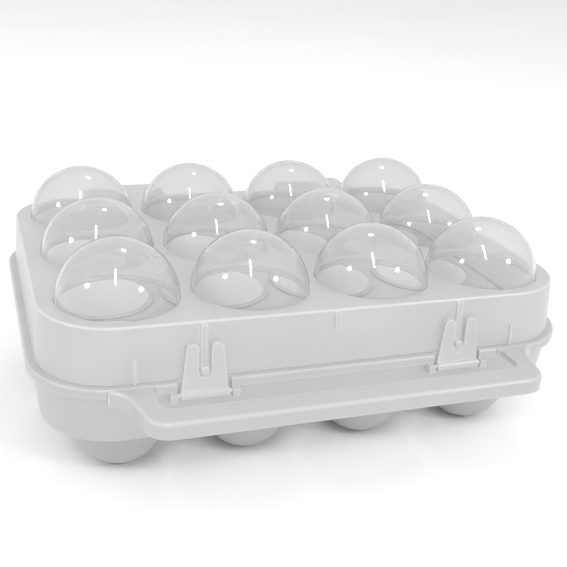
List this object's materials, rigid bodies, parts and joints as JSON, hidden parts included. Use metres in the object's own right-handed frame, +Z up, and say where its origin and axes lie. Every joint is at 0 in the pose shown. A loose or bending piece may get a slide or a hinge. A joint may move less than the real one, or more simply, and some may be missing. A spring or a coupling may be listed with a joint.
{
  "type": "egg carton",
  "caption": "Reusable plastic egg carton: a hinged lid with clear domes over a tray of egg cups, two front latches and a fixed carrying handle.",
  "frame": {"origin": "on the surface that the carton stands on, under the middle of the whole carton's length and depth, handle included", "axes": "+X along the four-cell side, +Y from the handle towards the hinges, +Z up"},
  "size_m": [0.225, 0.2074, 0.092],
  "materials": {
    "frosted_lid": "frosted translucent polypropylene, smooth",
    "frosted_tray": "frosted translucent polypropylene, smooth",
    "clear_dome": "clear, polished",
    "clear_cup": "translucent, polished",
    "latch_plastic": "frosted translucent polypropylene, smooth",
    "pin_plastic": "plain moulded nylon"
  },
  "bodies": {
    "tray": {"base_tray": "frosted_tray", "carry_handle": "frosted_tray", "egg_cup_r1c1": "clear_cup", "egg_cup_r1c2": "clear_cup", "egg_cup_r1c3": "clear_cup", "egg_cup_r1c4": "clear_cup", "egg_cup_r2c1": "clear_cup", "egg_cup_r2c2": "clear_cup", "egg_cup_r2c3": "clear_cup", "egg_cup_r2c4": "clear_cup", "egg_cup_r3c1": "clear_cup", "egg_cup_r3c2": "clear_cup", "egg_cup_r3c3": "clear_cup", "egg_cup_r3c4": "clear_cup", "latch_pin_left": "pin_plastic", "latch_pin_right": "pin_plastic", "hinge_pin_left": "pin_plastic", "hinge_pin_right": "pin_plastic"},
    "lid": {"lid_shell": "frosted_lid", "dome_r1c1": "clear_dome", "dome_r1c2": "clear_dome", "dome_r1c3": "clear_dome", "dome_r1c4": "clear_dome", "dome_r2c1": "clear_dome", "dome_r2c2": "clear_dome", "dome_r2c3": "clear_dome", "dome_r2c4": "clear_dome", "dome_r3c1": "clear_dome", "dome_r3c2": "clear_dome", "dome_r3c3": "clear_dome", "dome_r3c4": "clear_dome"},
    "left_latch": {"latch_left": "latch_plastic"},
    "right_latch": {"latch_right": "latch_plastic"}
  },
  "joints": [
    {"name": "lid_hinge", "type": "hinge", "parent": "tray", "child": "lid", "pos_m": [0, 0.0963, 0.04775], "axis": [-1, 0, 0], "range_deg": [0, 175]},
    {"name": "left_latch_hinge", "type": "hinge", "parent": "tray", "child": "left_latch", "pos_m": [-0.052, -0.0772, 0.0426], "axis": [1, 0, 0], "range_deg": [0, 60]},
    {"name": "right_latch_hinge", "type": "hinge", "parent": "tray", "child": "right_latch", "pos_m": [0.052, -0.0772, 0.0426], "axis": [1, 0, 0], "range_deg": [0, 60]}
  ]
}
